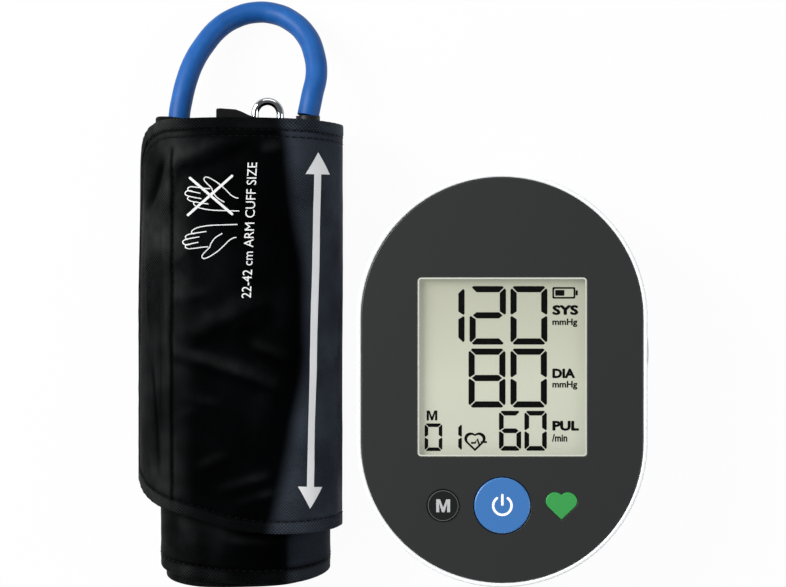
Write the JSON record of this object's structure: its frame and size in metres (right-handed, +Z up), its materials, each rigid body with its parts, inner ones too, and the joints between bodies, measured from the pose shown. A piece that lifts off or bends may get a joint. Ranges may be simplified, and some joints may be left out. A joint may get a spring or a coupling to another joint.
{
  "type": "blood pressure cuff set",
  "caption": "Rolled upper-arm blood pressure cuff with blue air hose and bar ring, beside its round-ended digital monitor with display and keys.",
  "frame": {"origin": "middle of the set's footprint, on the table", "axes": "+Z up off the table, +Y along the roll towards the hose loop, +X from the cuff to the monitor"},
  "size_m": [0.1857, 0.2158, 0.042],
  "materials": {
    "face_black": "satin black moulded face",
    "case_white": "fine-grained white ABS",
    "lens_clear": "clear acrylic",
    "lcd_cell": "reflective grey-green LCD",
    "light_white": "white diffuser",
    "contact_rubber": "silicone contact strip",
    "board_green": "solder mask",
    "part_black": "moulded black plastic",
    "key_blue": "satin blue",
    "key_dark": "satin dark",
    "heart_green": "translucent green",
    "steel": "plain steel",
    "pump_plastic": "natural plastic",
    "tube_clear": "silicone tube",
    "cell_wrap": "plain wrapped cell",
    "foot_rubber": "matt rubber",
    "nylon_black": "woven nylon",
    "binding_black": "bias tape",
    "hook_black": "hook tape",
    "loop_black": "brushed loop pile",
    "bladder_grey": "thin rubber",
    "chrome_wire": "bright plated wire",
    "hose_blue": "satin blue hose"
  },
  "bodies": {
    "monitor": {"front_panel": "face_black", "upper_case": "case_white", "lower_case": "case_white", "lcd_window": "lens_clear", "lcd_glass": "lcd_cell", "lcd_backlight": "light_white", "contact_strip": "contact_rubber", "main_board": "board_green", "button_switches": "part_black", "heart_lens": "heart_green", "indicator_led": "light_white", "pressure_sensor": "part_black", "pump_motor": "steel", "pump_sleeve": "foot_rubber", "pump_head": "pump_plastic", "release_valve": "pump_plastic", "air_manifold": "pump_plastic", "air_tubing": "tube_clear", "air_socket": "part_black", "battery_bay": "case_white", "batteries": "cell_wrap", "battery_springs": "steel", "battery_contacts": "steel", "rubber_feet": "foot_rubber", "case_screws": "steel"},
    "power_key": {"power_button": "key_blue"},
    "memory_key": {"memory_button": "key_dark"},
    "door": {"battery_door": "case_white"},
    "rotor": {"pump_rotor": "steel"},
    "plunger": {"valve_plunger": "steel"},
    "cuff": {"outer_cover": "nylon_black", "loop_panel": "loop_black", "inner_cover": "nylon_black", "air_bladder": "bladder_grey", "lining": "nylon_black", "edge_binding": "binding_black", "ring_sleeve": "nylon_black", "air_port": "part_black", "port_collar": "part_black", "hose_loop": "hose_blue", "hose_hank": "hose_blue", "air_plug": "part_black", "plug_seal": "foot_rubber"},
    "flap": {"outer_flap": "nylon_black", "flap_binding": "binding_black", "hook_patch": "hook_black"},
    "ring": {"bar_ring": "chrome_wire"}
  },
  "joints": [
    {"name": "power_press", "type": "slide", "parent": "monitor", "child": "power_key", "axis": [0, 0, -1], "range_m": [0, 0.0012], "stiffness_N_per_m": 800},
    {"name": "memory_press", "type": "slide", "parent": "monitor", "child": "memory_key", "axis": [0, 0, -1], "range_m": [0, 0.0012], "stiffness_N_per_m": 800},
    {"name": "battery_door_slide", "type": "slide", "parent": "monitor", "child": "door", "axis": [0, -1, 0], "range_m": [0, 0.075]},
    {"name": "pump_spin", "type": "hinge", "parent": "monitor", "child": "rotor", "pos_m": [0.03995, 0.01505, 0.016], "axis": [1, 0, 0], "continuous": true},
    {"name": "valve_pull", "type": "slide", "parent": "monitor", "child": "plunger", "axis": [0, -1, 0], "range_m": [0, 0.001], "stiffness_N_per_m": 300},
    {"name": "cuff_lift", "type": "slide", "parent": "monitor", "child": "cuff", "axis": [0, 0, 1], "range_m": [0, 0.12]},
    {"name": "flap_peel", "type": "hinge", "parent": "cuff", "child": "flap", "pos_m": [-0.03875, 0, 0.042], "axis": [0, 1, 0], "range_deg": [0, 100]},
    {"name": "ring_swing", "type": "hinge", "parent": "cuff", "child": "ring", "pos_m": [-0.04945, 0, 0.0322], "axis": [0, 1, 0], "range_deg": [0, 12]}
  ]
}
